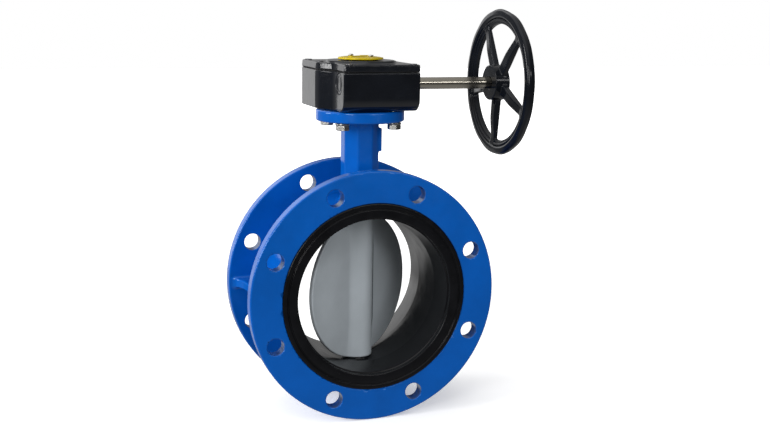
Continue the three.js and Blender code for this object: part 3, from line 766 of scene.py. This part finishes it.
def upper_stem_field(x, y, z):
    across, off = turned(x, y, DISC_REST)
    square = meet(np.abs(across) - SQUARE_HALF, np.abs(off) - SQUARE_HALF, 0.6)
    square = meet(square, slab(z, SQUARE_LOW, 75), 0.8)
    round_part = meet(rod(x, y, z, STEM_R, 70.5, 306, 1), np.hypot(x, y) - 8.5 - (z - 70.5))
    shape = union(square, round_part, 0.6)
    keyway = brick(x, y, z, (STEM_R - 3.5, -KEYWAY_HALF, KEYWAY_LOW), (20, KEYWAY_HALF, KEYWAY_HIGH))
    shape = cut(shape, keyway, 0.3)
    groove = np.maximum(9.9 - np.hypot(x, y), slab(z, CIRCLIP_LOW - GAP, CIRCLIP_HIGH + GAP))
    return cut(shape, groove, 0.1)


def stems():
    grow_node("upper_stem", "_shaft", upper_stem_field, "disc_group", "stainless_shaft", 0.8,
              look="stem_steel")
    low, high = span_of("lower_stem", "Z")
    piece = spin("lower_stem_shaft", [(0, low, 0), (STEM_R, low, 1), (STEM_R, high, 1), (0, high, 0)])
    finish_piece(piece, "disc_group", "lower_stem", "stainless_shaft", "stem_steel")


def plain_rings():
    """Bushes, O-rings, bearings and gaskets: rings that take their size from the CAD node's box."""
    bronze = ("bearing_bronze", None)
    rubber = ("seat_rubber", "seal_rubber")
    rings = (
        ("upper_stem_bush", "Z", STEM_R + GAP, 0.6, *bronze),
        ("middle_stem_bush", "Z", STEM_R + GAP, 0.6, *bronze),
        ("lower_stem_bush", "Z", STEM_R + GAP, 0.6, *bronze),
        ("upper_stem_o_ring", "Z", STEM_R + GAP, 1.3, *rubber),
        ("middle_stem_o_ring", "Z", STEM_R + GAP, 1.3, *rubber),
        ("bottom_plug_gasket", "Z", 12, 0.3, *rubber),
        ("indicator_seal", "Z", 22.3, 1.0, *rubber),
        ("worm_bearing_left", "X", JOURNAL_R + GAP, 0.7, *bronze),
        ("worm_bearing_right", "X", SHAFT_R + GAP, 0.7, *bronze),
        ("input_seal", "X", SHAFT_R + GAP, 0.8, *rubber),
    )
    for node, axis, inner, fillet, slot, look in rings:
        low, high = span_of(node, axis)
        side = span_of(node, "Y")
        outer = (side[1] - side[0]) / 2
        centre = middle_of(node)
        centre["XYZ".index(axis)] = 0
        profile = [(inner, low, fillet), (outer, low, fillet), (outer, high, fillet), (inner, high, fillet)]
        piece = spin(node + "_ring", profile, axis, centre)
        finish_piece(piece, "casing", node, slot, look)


# ---------------------------------------------------------------- gearbox
def box_outline(x, y, inset, edge):
    """Distance to the gearbox outline seen from above, moved in by an inset."""
    facet = FACET_NORMAL[0] * (x - BOX_LEFT) + FACET_NORMAL[1] * (y - FACET_Y)
    side = union(WORM_END_X - x, meet(BOX_LEFT - x, facet, edge), 2.5)
    slant = math.sqrt(0.5) * ((x - BOX_RIGHT) + (y - CORNER_Y))
    shape = meet(side, slab(y, BOX_FRONT, BOX_REAR), edge)
    shape = meet(shape, x - BOX_RIGHT, edge)
    return meet(shape, slant, edge) + inset


def screw_holes(x, y, spots, radius):
    field = None
    for px, py in spots:
        one = np.hypot(x - px, y - py) - radius
        field = one if field is None else np.minimum(field, one)
    return field


def top_bolt_spots():
    return [(sx * TOP_BOLT, sy * TOP_BOLT) for sx, sy in TOP_BOLTS]


def housing_cavity(x, y, z):
    cavity = meet(box_outline(x, y, WALL, 2), slab(z, BOX_FLOOR, 400), 2)
    cavity = cut(cavity, y + 22, 2)
    cavity = cut(cavity, screw_holes(x, y, COVER_SCREWS, 7), 2)
    cavity = cut(cavity, np.maximum(screw_holes(x, y, top_bolt_spots(), 9), z - 260), 1)
    return union(cavity, brick(x, y, z, (-23, -59, 260), (23, -20, 400), 2))


def gearbox_housing_field(x, y, z):
    u, v = y - WORM_Y, z - WORM_Z
    lower = meet(BOX_FRONT - y, BOX_BOTTOM - z, 20)
    shape = meet(box_outline(x, y, 0, 3.2), slab(z, BOX_BOTTOM, BOX_TOP), 1.4)
    shape = meet(shape, lower, 1.5)
    shape = union(shape, rod(x, y, z, 34.7, TOP_Z - 2.5, BOX_BOTTOM + 1, 0.4))
    shape = cut(shape, housing_cavity(x, y, z), 0.6)
    shape = cut(shape, rod(u, v, x, 14, -60, -36.5), 0.5)
    shape = cut(shape, rod(u, v, x, 12.3, -40, 70), 0.8)
    shape = cut(shape, rod(x, y, z, 20.6, 200, 300), 0.5)
    shape = cut(shape, np.maximum(screw_holes(x, y, COVER_SCREWS, 3.3), 283 - z), 0.3)
    shape = cut(shape, np.maximum(screw_holes(x, y, top_bolt_spots(), 5.3), z - 256))
    stops = np.maximum(np.hypot(np.abs(x) - STOP_X, z - WORM_Z) - 4.3, 70 - y)
    return cut(shape, stops, 0.4)


def cover_gasket_field(x, y, z):
    shape = meet(box_outline(x, y, 0.6, 3), slab(z, 296.3, 297.1), 0.1)
    inner = cut(box_outline(x, y, WALL, 2), screw_holes(x, y, COVER_SCREWS, 7), 2)
    shape = cut(shape, inner)
    return cut(shape, screw_holes(x, y, COVER_SCREWS, 3.3))


def gearbox_cover_field(x, y, z):
    from_axis = np.hypot(x, y)
    draft = 0.10 * (z - COVER_BOTTOM)
    shape = meet(box_outline(x, y, draft, 3.2), slab(z, COVER_BOTTOM, COVER_TOP), 1.6)
    crown = meet(from_axis - CROWN_R - 0.4 * (CROWN_TOP - z), slab(z, COVER_TOP - 3, CROWN_TOP), 1.2)
    crown = meet(crown, box_outline(x, y, 2.0, 3.2), 1.0)
    shape = union(shape, crown, 2.0)
    shape = cut(shape, rod(x, y, z, 22.6, 200, 400), 0.5)
    shape = cut(shape, rod(x, y, z, 26, 300, 304))
    shape = cut(shape, screw_holes(x, y, COVER_SCREWS, 3.3))
    return cut(shape, np.maximum(screw_holes(x, y, COVER_SCREWS, 5.6), SCREW_SEAT - z), 0.4)


def gearbox_case():
    grow_node("gearbox_housing", "_casting", gearbox_housing_field, "casing", "gearbox_enamel", 0.8)
    grow_node("gearbox_cover", "_casting", gearbox_cover_field, "casing", "gearbox_enamel", 0.7)
    grow_node("cover_gasket", "_sheet", cover_gasket_field, "casing", "seat_rubber", 0.4, 0.2,
              "seal_rubber")
    low, high = span_of("worm_end_plug", "X")
    profile = [(0, low, 0), (9.2, low, 0.3), (9.6, low + 0.5, 0.2), (10.4, low + 0.5, 0.2), (10.8, low, 0.3),
               (13.7, low, 0.7), (13.7, high, 0.7), (0, high, 0)]
    piece = spin("worm_end_plug_disc", profile, "X", (0, WORM_Y, WORM_Z))
    finish_piece(piece, "casing", "worm_end_plug", "gearbox_enamel")


def indicator_plate_field(x, y, z):
    """A domed plate with a raised pointer that lies along the disc."""
    along, across = turned(x, y, DISC_REST)
    from_axis = np.hypot(x, y)
    low = CROWN_TOP + 0.9
    top = low + 3.6 - 1.1 * smooth(from_axis, 22, 30.5)
    shape = meet(from_axis - 30.5, np.maximum(low - z, z - top), 0.9)
    head = meet(along - 24 + 1.4 * np.abs(across), 10 - along)
    shaft = meet(np.abs(across) - 3, slab(along, -23, 12))
    pointer = meet(np.minimum(head, shaft), slab(z, low + 2, low + 4.8), 0.6)
    shape = union(shape, pointer, 0.5)
    screws = np.hypot(along, np.abs(across) - INDICATOR_SCREW) - 2.3
    return cut(shape, screws, 0.3)


def slotted_screw_field(x, y, z):
    """A cheese-head screw on the axis, with its seat at z = 0."""
    shape = rod(x, y, z, 3.6, 0, 2.4, 0.7)
    shape = union(shape, rod(x, y, z, 1.7, -8.5, 0.5, 0.2))
    return cut(shape, np.maximum(np.abs(x) - 0.6, 1.3 - z), 0.15)


def indicator():
    grow_node("indicator_plate", "_disc", indicator_plate_field, "disc_group", "indicator_yellow", 0.5)
    screw = grow("slotted_screw", slotted_screw_field, (-4, -4, -9), (4, 4, 3), 0.2)
    screw.data.transform(Matrix.Rotation(math.radians(DISC_REST), 4, "Z"))
    nodes = ["indicator_screw_1", "indicator_screw_2"]
    spots = [(*middle_of(n)[:2], CROWN_TOP + 4.8) for n in nodes]
    for piece, node in zip(copies(screw, [n + "_head" for n in nodes], spots), nodes):
        finish_piece(piece, "disc_group", node, "bright_steel")


# ---------------------------------------------------------------- fasteners
def threaded(u, v, w, radius, pitch, low, high):
    """A rod with a helical thread."""
    phase = np.mod(w / pitch - np.arctan2(v, u) / (2 * math.pi), 1)
    depth = 0.55 * pitch * np.abs(phase - 0.5) * 2
    return meet(np.hypot(u, v) - radius + 0.8 * depth * 0.6, slab(w, low, high), 0.4) * 0.85


def hex_head(u, v, w, flat, low, high):
    """A hexagon whose corners are chamfered at both ends."""
    cone = (np.hypot(u, v) - flat * 1.02 - 1.7 * np.minimum(w - low, high - w)) * 0.5
    return meet(meet(hexagon(u, v, flat), slab(w, low, high), 0.25), cone, 0.2)


def mounting_bolt_field(x, y, z):
    """A hex bolt under the top flange, on its own axis."""
    head = hex_head(x, y, z, 8, BOLT_LOW, 226)
    return union(head, rod(x, y, z, 5, 225.5, BOLT_HIGH, 0.8), 0.3)


def socket_screw_field(x, y, z):
    shape = rod(x, y, z, 5, SCREW_SEAT + 0.3, SCREW_TOP, 0.7)
    shape = union(shape, rod(x, y, z, 3, 285, SCREW_SEAT + 1, 0.4))
    return cut(shape, np.maximum(hexagon(x, y, 2.5), SCREW_TOP - 2.8 - z), 0.2)


def stop_screw_field(x, y, z):
    """A screw along Y with a thread and a hexagon head, on its own axis."""
    shape = threaded(x, z, y, 4, 1.25, STOP_TIP, 99)
    return union(shape, hex_head(z, x, y, 6.5, *STOP_HEAD))


def stop_nut_field(x, y, z):
    shape = hex_head(z, x, y, 6.5, *STOP_NUT)
    return cut(shape, np.hypot(x, z) - 4.3, 0.4)


def repeated(kind, nodes, field, low, high, voxel, axis_spots, suffix, slot="bright_steel"):
    """One fastener grown once and copied to each node's place."""
    first = grow(kind, field, low, high, voxel)
    made = copies(first, [n + suffix for n in nodes], axis_spots)
    for piece, node in zip(made, nodes):
        finish_piece(piece, "casing", node, slot)


def fasteners():
    bolts = [f"mounting_bolt_{i}" for i in range(1, 5)]
    spots = [(*middle_of(n)[:2], 0) for n in bolts]
    low, high = (-9.5, -9.5, BOLT_LOW), (9.5, 9.5, BOLT_HIGH)
    repeated("hex_bolt", bolts, mounting_bolt_field, low, high, 0.35, spots, "_hex")
    for i in range(1, 5):
        node = f"mounting_washer_{i}"
        low, high = span_of(node, "Z")
        profile = [(5.4, low, 0.3), (9.5, low, 0.5), (9.5, high, 0.4), (5.4, high, 0.3)]
        piece = spin(node + "_ring", profile, "Z", (*middle_of(node)[:2], 0), segments=48)
        finish_piece(piece, "casing", node, "bright_steel")
    screws = [f"cover_screw_{i}" for i in range(1, 7)]
    spots = [(*middle_of(n)[:2], 0) for n in screws]
    repeated("cap_screw", screws, socket_screw_field, (-5, -5, 285), (5, 5, SCREW_TOP), 0.25, spots, "_cap",
             "blackened_steel")
    stops = ["stop_screw_left", "stop_screw_right"]
    spots = [(middle_of(n)[0], 0, WORM_Z) for n in stops]
    low, high = (-7.6, STOP_TIP, -7.6), (7.6, STOP_HEAD[1], 7.6)
    repeated("stop", stops, stop_screw_field, low, high, 0.3, spots, "_hex")
    nuts = ["stop_nut_left", "stop_nut_right"]
    spots = [(middle_of(n)[0], 0, WORM_Z) for n in nuts]
    low, high = (-7.6, STOP_NUT[0], -7.6), (7.6, STOP_NUT[1], 7.6)
    repeated("nut", nuts, stop_nut_field, low, high, 0.3, spots, "_hex")
    bottom_plug()


def bottom_plug_field(x, y, z):
    low, high = BOSS_BOTTOM + 0.5, -154.1
    shape = rod(x, y, z, 16.7, low, high, 0.8)
    return cut(shape, np.maximum(hexagon(x, y, 5), z + 157), 0.3)


def bottom_plug():
    grow_node("bottom_plug", "_screw", bottom_plug_field, "casing", "bright_steel", 0.4)


# ---------------------------------------------------------------- handwheel and input shaft
def polygon_field(u, v, corners, r):
    """Distance to a polygon whose outward corners are rounded to radius r. The corners run anticlockwise."""
    corners = [np.array(c, float) for c in corners]
    outside, nearest = False, None
    for a, b in zip(corners, corners[1:] + corners[:1]):
        side = b - a
        along = np.clip(((u - a[0]) * side[0] + (v - a[1]) * side[1]) / (side @ side), 0, 1)
        reach = np.hypot(u - a[0] - along * side[0], v - a[1] - along * side[1])
        nearest = reach if nearest is None else np.minimum(nearest, reach)
        crosses = ((a[1] > v) != (b[1] > v)) & (u < side[0] * (v - a[1]) / (side[1] + 1e-12) + a[0])
        outside = outside ^ crosses
    return np.where(outside, -nearest, nearest) - r


def spoke_field(axial, along, across):
    """A spoke: a bar with rounded edges that narrows a little, and sinks back, towards the rim."""
    half = 8.0 - 0.023 * (along - 20)
    front = -7.2 + 3.4 * smooth(along, 45, 82)
    bar = meet(np.abs(across) - half, np.maximum(front - axial, axial - 1.5), 2.6)
    return np.maximum(bar, slab(along, 8, 88))


def rim_field(axial, from_axis, around):
    """The rim: a round bead with shallow finger waves outside, and a lip that carries the spokes inside."""
    lobe = np.sqrt(np.sin(GRIPS * (around - GRIP_START) / 2) ** 2 + 0.04)
    wave = GRIP_DEPTH * (lobe - 1) * smooth(from_axis, 88, 97)
    core = ((-3.2, 90.8), (2.2, 90.8), (1.4, 93.2), (-2.4, 94.6))
    bead = polygon_field(axial, from_axis - wave, core, 4.1)
    lip = meet(slab(from_axis, 79, 92), slab(axial, -3.0, 4.6), 1.9)
    ridge = np.hypot(axial + 3.6, from_axis - 84.6) - 1.5
    return union(union(bead, lip, 1.0), ridge, 0.8)


def handwheel_field(x, y, z):
    axial, v, w = x - WHEEL_X, y - WORM_Y, z - WORM_Z
    from_axis = np.hypot(v, w)
    shape = rim_field(axial, from_axis, np.arctan2(w, v))
    for k in range(SPOKES):
        turn = math.radians(SPOKE_START + k * 360 / SPOKES)
        along = -v * math.cos(turn) + w * math.sin(turn)
        across = v * math.sin(turn) + w * math.cos(turn)
        shape = union(shape, spoke_field(axial, along, across), 2.5)
    hub = rod(v, w, axial, HUB_R, HUB_ENDS[0] - WHEEL_X, HUB_ENDS[1] - WHEEL_X, 1.0)
    shape = union(shape, hub, 2.0)
    shape = cut(shape, from_axis - SHAFT_R - GAP, 0.7)
    pin_hole = np.maximum(np.hypot(x - PIN_X, v) - 3.3, np.abs(w) - 30)
    return cut(shape, pin_hole, 0.4)


def input_shaft_profile():
    return [
        (0, SHAFT_START, 0), (JOURNAL_R, SHAFT_START, 1), (JOURNAL_R, SHAFT_STEP, 0.3),
        (SHAFT_R, SHAFT_STEP, 0.4), (SHAFT_R, SHAFT_END, 1), (0, SHAFT_END, 0),
    ]


def input_group():
    grow_node("handwheel", "_casting", handwheel_field, "input_group", "handwheel_enamel", 0.7, 0.002)
    piece = spin("input_shaft_bar", input_shaft_profile(), "X", (0, WORM_Y, WORM_Z), segments=96)
    finish_piece(piece, "input_group", "input_shaft", "stainless_shaft")
    for node, radius in (("worm_pin", 1.9), ("handwheel_pin", 2.9)):
        low, high = span_of(node, "Z")
        profile = [(0, low, 0), (radius, low, 0.5), (radius, high, 0.5), (0, high, 0)]
        piece = spin(node + "_rod", profile, "Z", (*middle_of(node)[:2], 0), segments=32)
        finish_piece(piece, "input_group", node, "spring_steel")


# ---------------------------------------------------------------- worm gear, inside the gearbox
def worm_field(x, y, z):
    v, w = y - WORM_Y, z - WORM_Z
    from_axis = np.hypot(v, w)
    turns = np.arctan2(w, v) / (2 * math.pi) - WHEEL_TEETH * (DISC_REST - MID_TRAVEL) / 360
    from_thread = np.mod(x + turns * TOOTH_PITCH + TOOTH_PITCH / 2, TOOTH_PITCH) - TOOTH_PITCH / 2
    half = 2.55 - 0.315 * (from_axis - WORM_ROOT_R + 1)
    thread = meet(np.abs(from_thread) - half, from_axis - WORM_TIP_R, 0.35)
    shape = union(from_axis - WORM_ROOT_R, thread, 0.6)
    shape = meet(shape, np.abs(x) - WORM_HALF, 0.4)
    shape = cut(shape, from_axis - JOURNAL_R - GAP, 0.4)
    return cut(shape, np.maximum(np.hypot(x, v) - 2.3, np.abs(w) - 30), 0.3)


def worm_wheel_field(x, y, z):
    """Ten teeth of a wheel of 24 on a hub, and above them the head that carries the indicator."""
    from_axis = np.hypot(x, y)
    lead = TOOTH_PITCH / (2 * math.pi * WORM_PITCH_R)
    twist = math.radians(DISC_REST - MID_TRAVEL) - (z - WORM_Z) * lead / WHEEL_PITCH_R
    around = np.mod(np.arctan2(y, x) + math.pi / 2 - twist + math.pi, 2 * math.pi) - math.pi
    step = 2 * math.pi / WHEEL_TEETH
    from_tooth = from_axis * (np.mod(around, step) - step / 2)
    half = 2.5 - 0.40 * (from_axis - WHEEL_ROOT_R)
    tooth = meet(np.abs(from_tooth) - half, from_axis - WHEEL_PITCH_R - 2, 0.35)
    tooth = np.maximum(tooth, from_axis * (np.abs(around) - 5 * step))
    sector = np.maximum(from_axis - WHEEL_ROOT_R, from_axis * (np.abs(around) - math.radians(72.9)))
    quadrant = meet(union(sector, tooth, 0.6), slab(z, 271, 291), 0.5)
    hub = meet(from_axis - 20 - np.clip(z - 295, 0, 2), slab(z, 255, 310.4), 0.5)
    shape = union(quadrant, hub, 2)
    shape = cut(shape, rod(x, y, z, STEM_R + GAP, 200, 307), 0.3)
    shape = cut(shape, rod(x, y, z, 13.8, 299.8, 307))
    shape = cut(shape, brick(x, y, z, (0, -KEYWAY_HALF, KEYWAY_LOW), (13.8, KEYWAY_HALF, 300)))
    along, across = turned(x, y, DISC_REST)
    return cut(shape, rod(along, np.abs(across) - INDICATOR_SCREW, z, 2, 305, 320), 0.2)


def stem_key_field(x, y, z):
    half = KEYWAY_HALF - GAP
    return brick(x, y, z, (7.8, -half, KEYWAY_LOW + GAP), (13.5, half, KEYWAY_HIGH - GAP), 0.5)


def stem_circlip_field(x, y, z):
    from_axis = np.hypot(x, y)
    ring = meet(meet(10.2 - from_axis, from_axis - 13.4, 0.2), slab(z, CIRCLIP_LOW, CIRCLIP_HIGH), 0.15)
    ring = cut(ring, brick(x, y, z, (8, -2.5, 298), (15, 2.5, 303)), 0.4)
    return cut(ring, np.hypot(x - 11, np.abs(y) - 4.4) - 0.6, 0.1)


def worm_gear():
    parts = (
        ("worm", "_thread", worm_field, "input_group", "gear_iron", 0.6),
        ("worm_wheel", "_quadrant", worm_wheel_field, "disc_group", "gear_iron", 0.7),
        ("stem_key", "_bar", stem_key_field, "disc_group", "spring_steel", 0.35),
        ("stem_circlip", "_ring", stem_circlip_field, "disc_group", "spring_steel", 0.2),
    )
    for part in parts:
        grow_node(*part, flat=0.01)


valve_body()
seat_liner()
disc()
stems()
plain_rings()
gearbox_case()
indicator()
fasteners()
input_group()
worm_gear()


# ---------------------------------------------------------------- floor, lights and camera
def floor():
    """A pale floor that lights nothing itself: the object sees only the studio round it."""
    half = 8.0
    level = cad_box[0].z - 0.0002
    mesh = bpy.data.meshes.new("floor")
    corners = [(-half, -half, level), (half, -half, level), (half, half, level), (-half, half, level)]
    mesh.from_pydata(corners, [], [(0, 1, 2, 3)])
    piece = new_object("floor", mesh)
    s = Shader("pale_floor", Roughness=0.9, Specular_IOR_Level=0.0)
    s.shader.inputs["Emission Color"].default_value = (1, 1, 1, 1)
    away = s.node("ShaderNodeVectorMath", operation="LENGTH")
    s.link(s.place, away.inputs[0])
    s.link(s.ranged(away.outputs["Value"], 0.6, 2.5, 0.35, 1.0), s.shader.inputs["Emission Strength"])
    s.colour(s.mix(s.noise(0.4, 3), (0.90, 0.90, 0.90), (0.93, 0.93, 0.93)))
    mesh.materials.append(s.material)
    piece.visible_glossy = False
    piece.visible_diffuse = False


def softbox(name, place, target, size, power, glossy=True):
    lamp = bpy.data.lights.new(name, "AREA")
    lamp.shape = "RECTANGLE"
    lamp.size, lamp.size_y = size
    lamp.energy = power
    box = bpy.data.objects.new(name, lamp)
    bpy.context.scene.collection.objects.link(box)
    box.location = place
    box.rotation_mode = "QUATERNION"
    box.rotation_quaternion = (Vector(target) - Vector(place)).to_track_quat("-Z", "Y")
    box.visible_glossy = glossy


def studio_world():
    """What the lamps leave out: a backdrop behind the object (+Y) that is bright just left of the middle, a
    soft ceiling, the floor's glow from below and a dim room in front. The camera itself sees plain white."""
    world = bpy.data.worlds.new("studio")
    world.use_nodes = True
    bpy.context.scene.world = world
    nodes = Nodes(world.node_tree, "Generated")
    x, y, z = nodes.coordinates()

    def soft(value, *limits):
        return nodes.ranged(value, *limits, interpolation_type="SMOOTHSTEP")

    def product(a, b):
        return nodes.math("MULTIPLY", a, b)

    behind = soft(y, 0.50, 0.80, 0.0, 1.0)
    to_right = soft(x, -0.12, 0.20, BACKDROP, BACKDROP_RIGHT)
    to_left = soft(x, -0.29, -0.38, 1.0, BACKDROP_LEFT)
    below = soft(z, -0.24, -0.10, BACKDROP_LOW, 1.0)
    backdrop = product(product(behind, below), product(to_left, to_right))
    ceiling = product(soft(x, 0.05, 0.30, CEILING, CEILING_RIGHT), soft(z, 0.35, 0.80, 0.0, 1.0))
    ground = soft(z, -0.10, -0.70, DIM, GROUND)
    around = nodes.math("ADD", nodes.math("ADD", backdrop, ceiling), ground)
    seen = nodes.node("ShaderNodeLightPath").outputs["Is Camera Ray"]
    background = world.node_tree.nodes["Background"]
    nodes.link(nodes.math("MAXIMUM", around, seen), background.inputs["Strength"])
    background.inputs["Color"].default_value = (1, 1, 1, 1)


def camera():
    """The camera looks down a little from the front left, with a long lens."""
    azimuth, elevation, roll = math.radians(-19.71), math.radians(10.58), math.radians(0.87)
    distance = 1.53055
    target = Vector((0.03802, 0, 0.10012))
    back = Vector((math.sin(azimuth) * math.cos(elevation), -math.cos(azimuth) * math.cos(elevation),
                   math.sin(elevation)))
    right = Vector((math.cos(azimuth), math.sin(azimuth), 0))
    up = back.cross(right)
    across = math.cos(roll) * right + math.sin(roll) * up
    upward = -math.sin(roll) * right + math.cos(roll) * up
    lens = bpy.data.cameras.new("camera")
    lens.sensor_width = 36
    lens.lens = 51.59642
    lens.shift_y = -0.00354545
    eye = bpy.data.objects.new("camera", lens)
    bpy.context.scene.collection.objects.link(eye)
    turn = Matrix((across, upward, back)).transposed().to_4x4()
    eye.matrix_world = Matrix.Translation(target + back * distance) @ turn
    bpy.context.scene.camera = eye


floor()
studio_world()
softbox("key", (-1.77, -1.77, 0.88), (0, 0, 0.88), (0.9, 1.2), 27)
softbox("left", (-2.39, 0.73, 0.78), (0, 0, 0.78), (0.81, 1.0), 25)
softbox("left_fill", (-2.5, -0.35, 0.7), (0, 0, 0.1), (1.0, 1.0), 33, glossy=False)
softbox("front", (1.08, -2.2, 1.03), (0.11, -0.04, 0.28), (1.4, 0.3), 8.5)
softbox("front_fill", (1.1, -2.3, 0.35), (0, 0, 0), (1.2, 1.0), 13, glossy=False)
camera()
bpy.context.scene.view_settings.view_transform = "Standard"
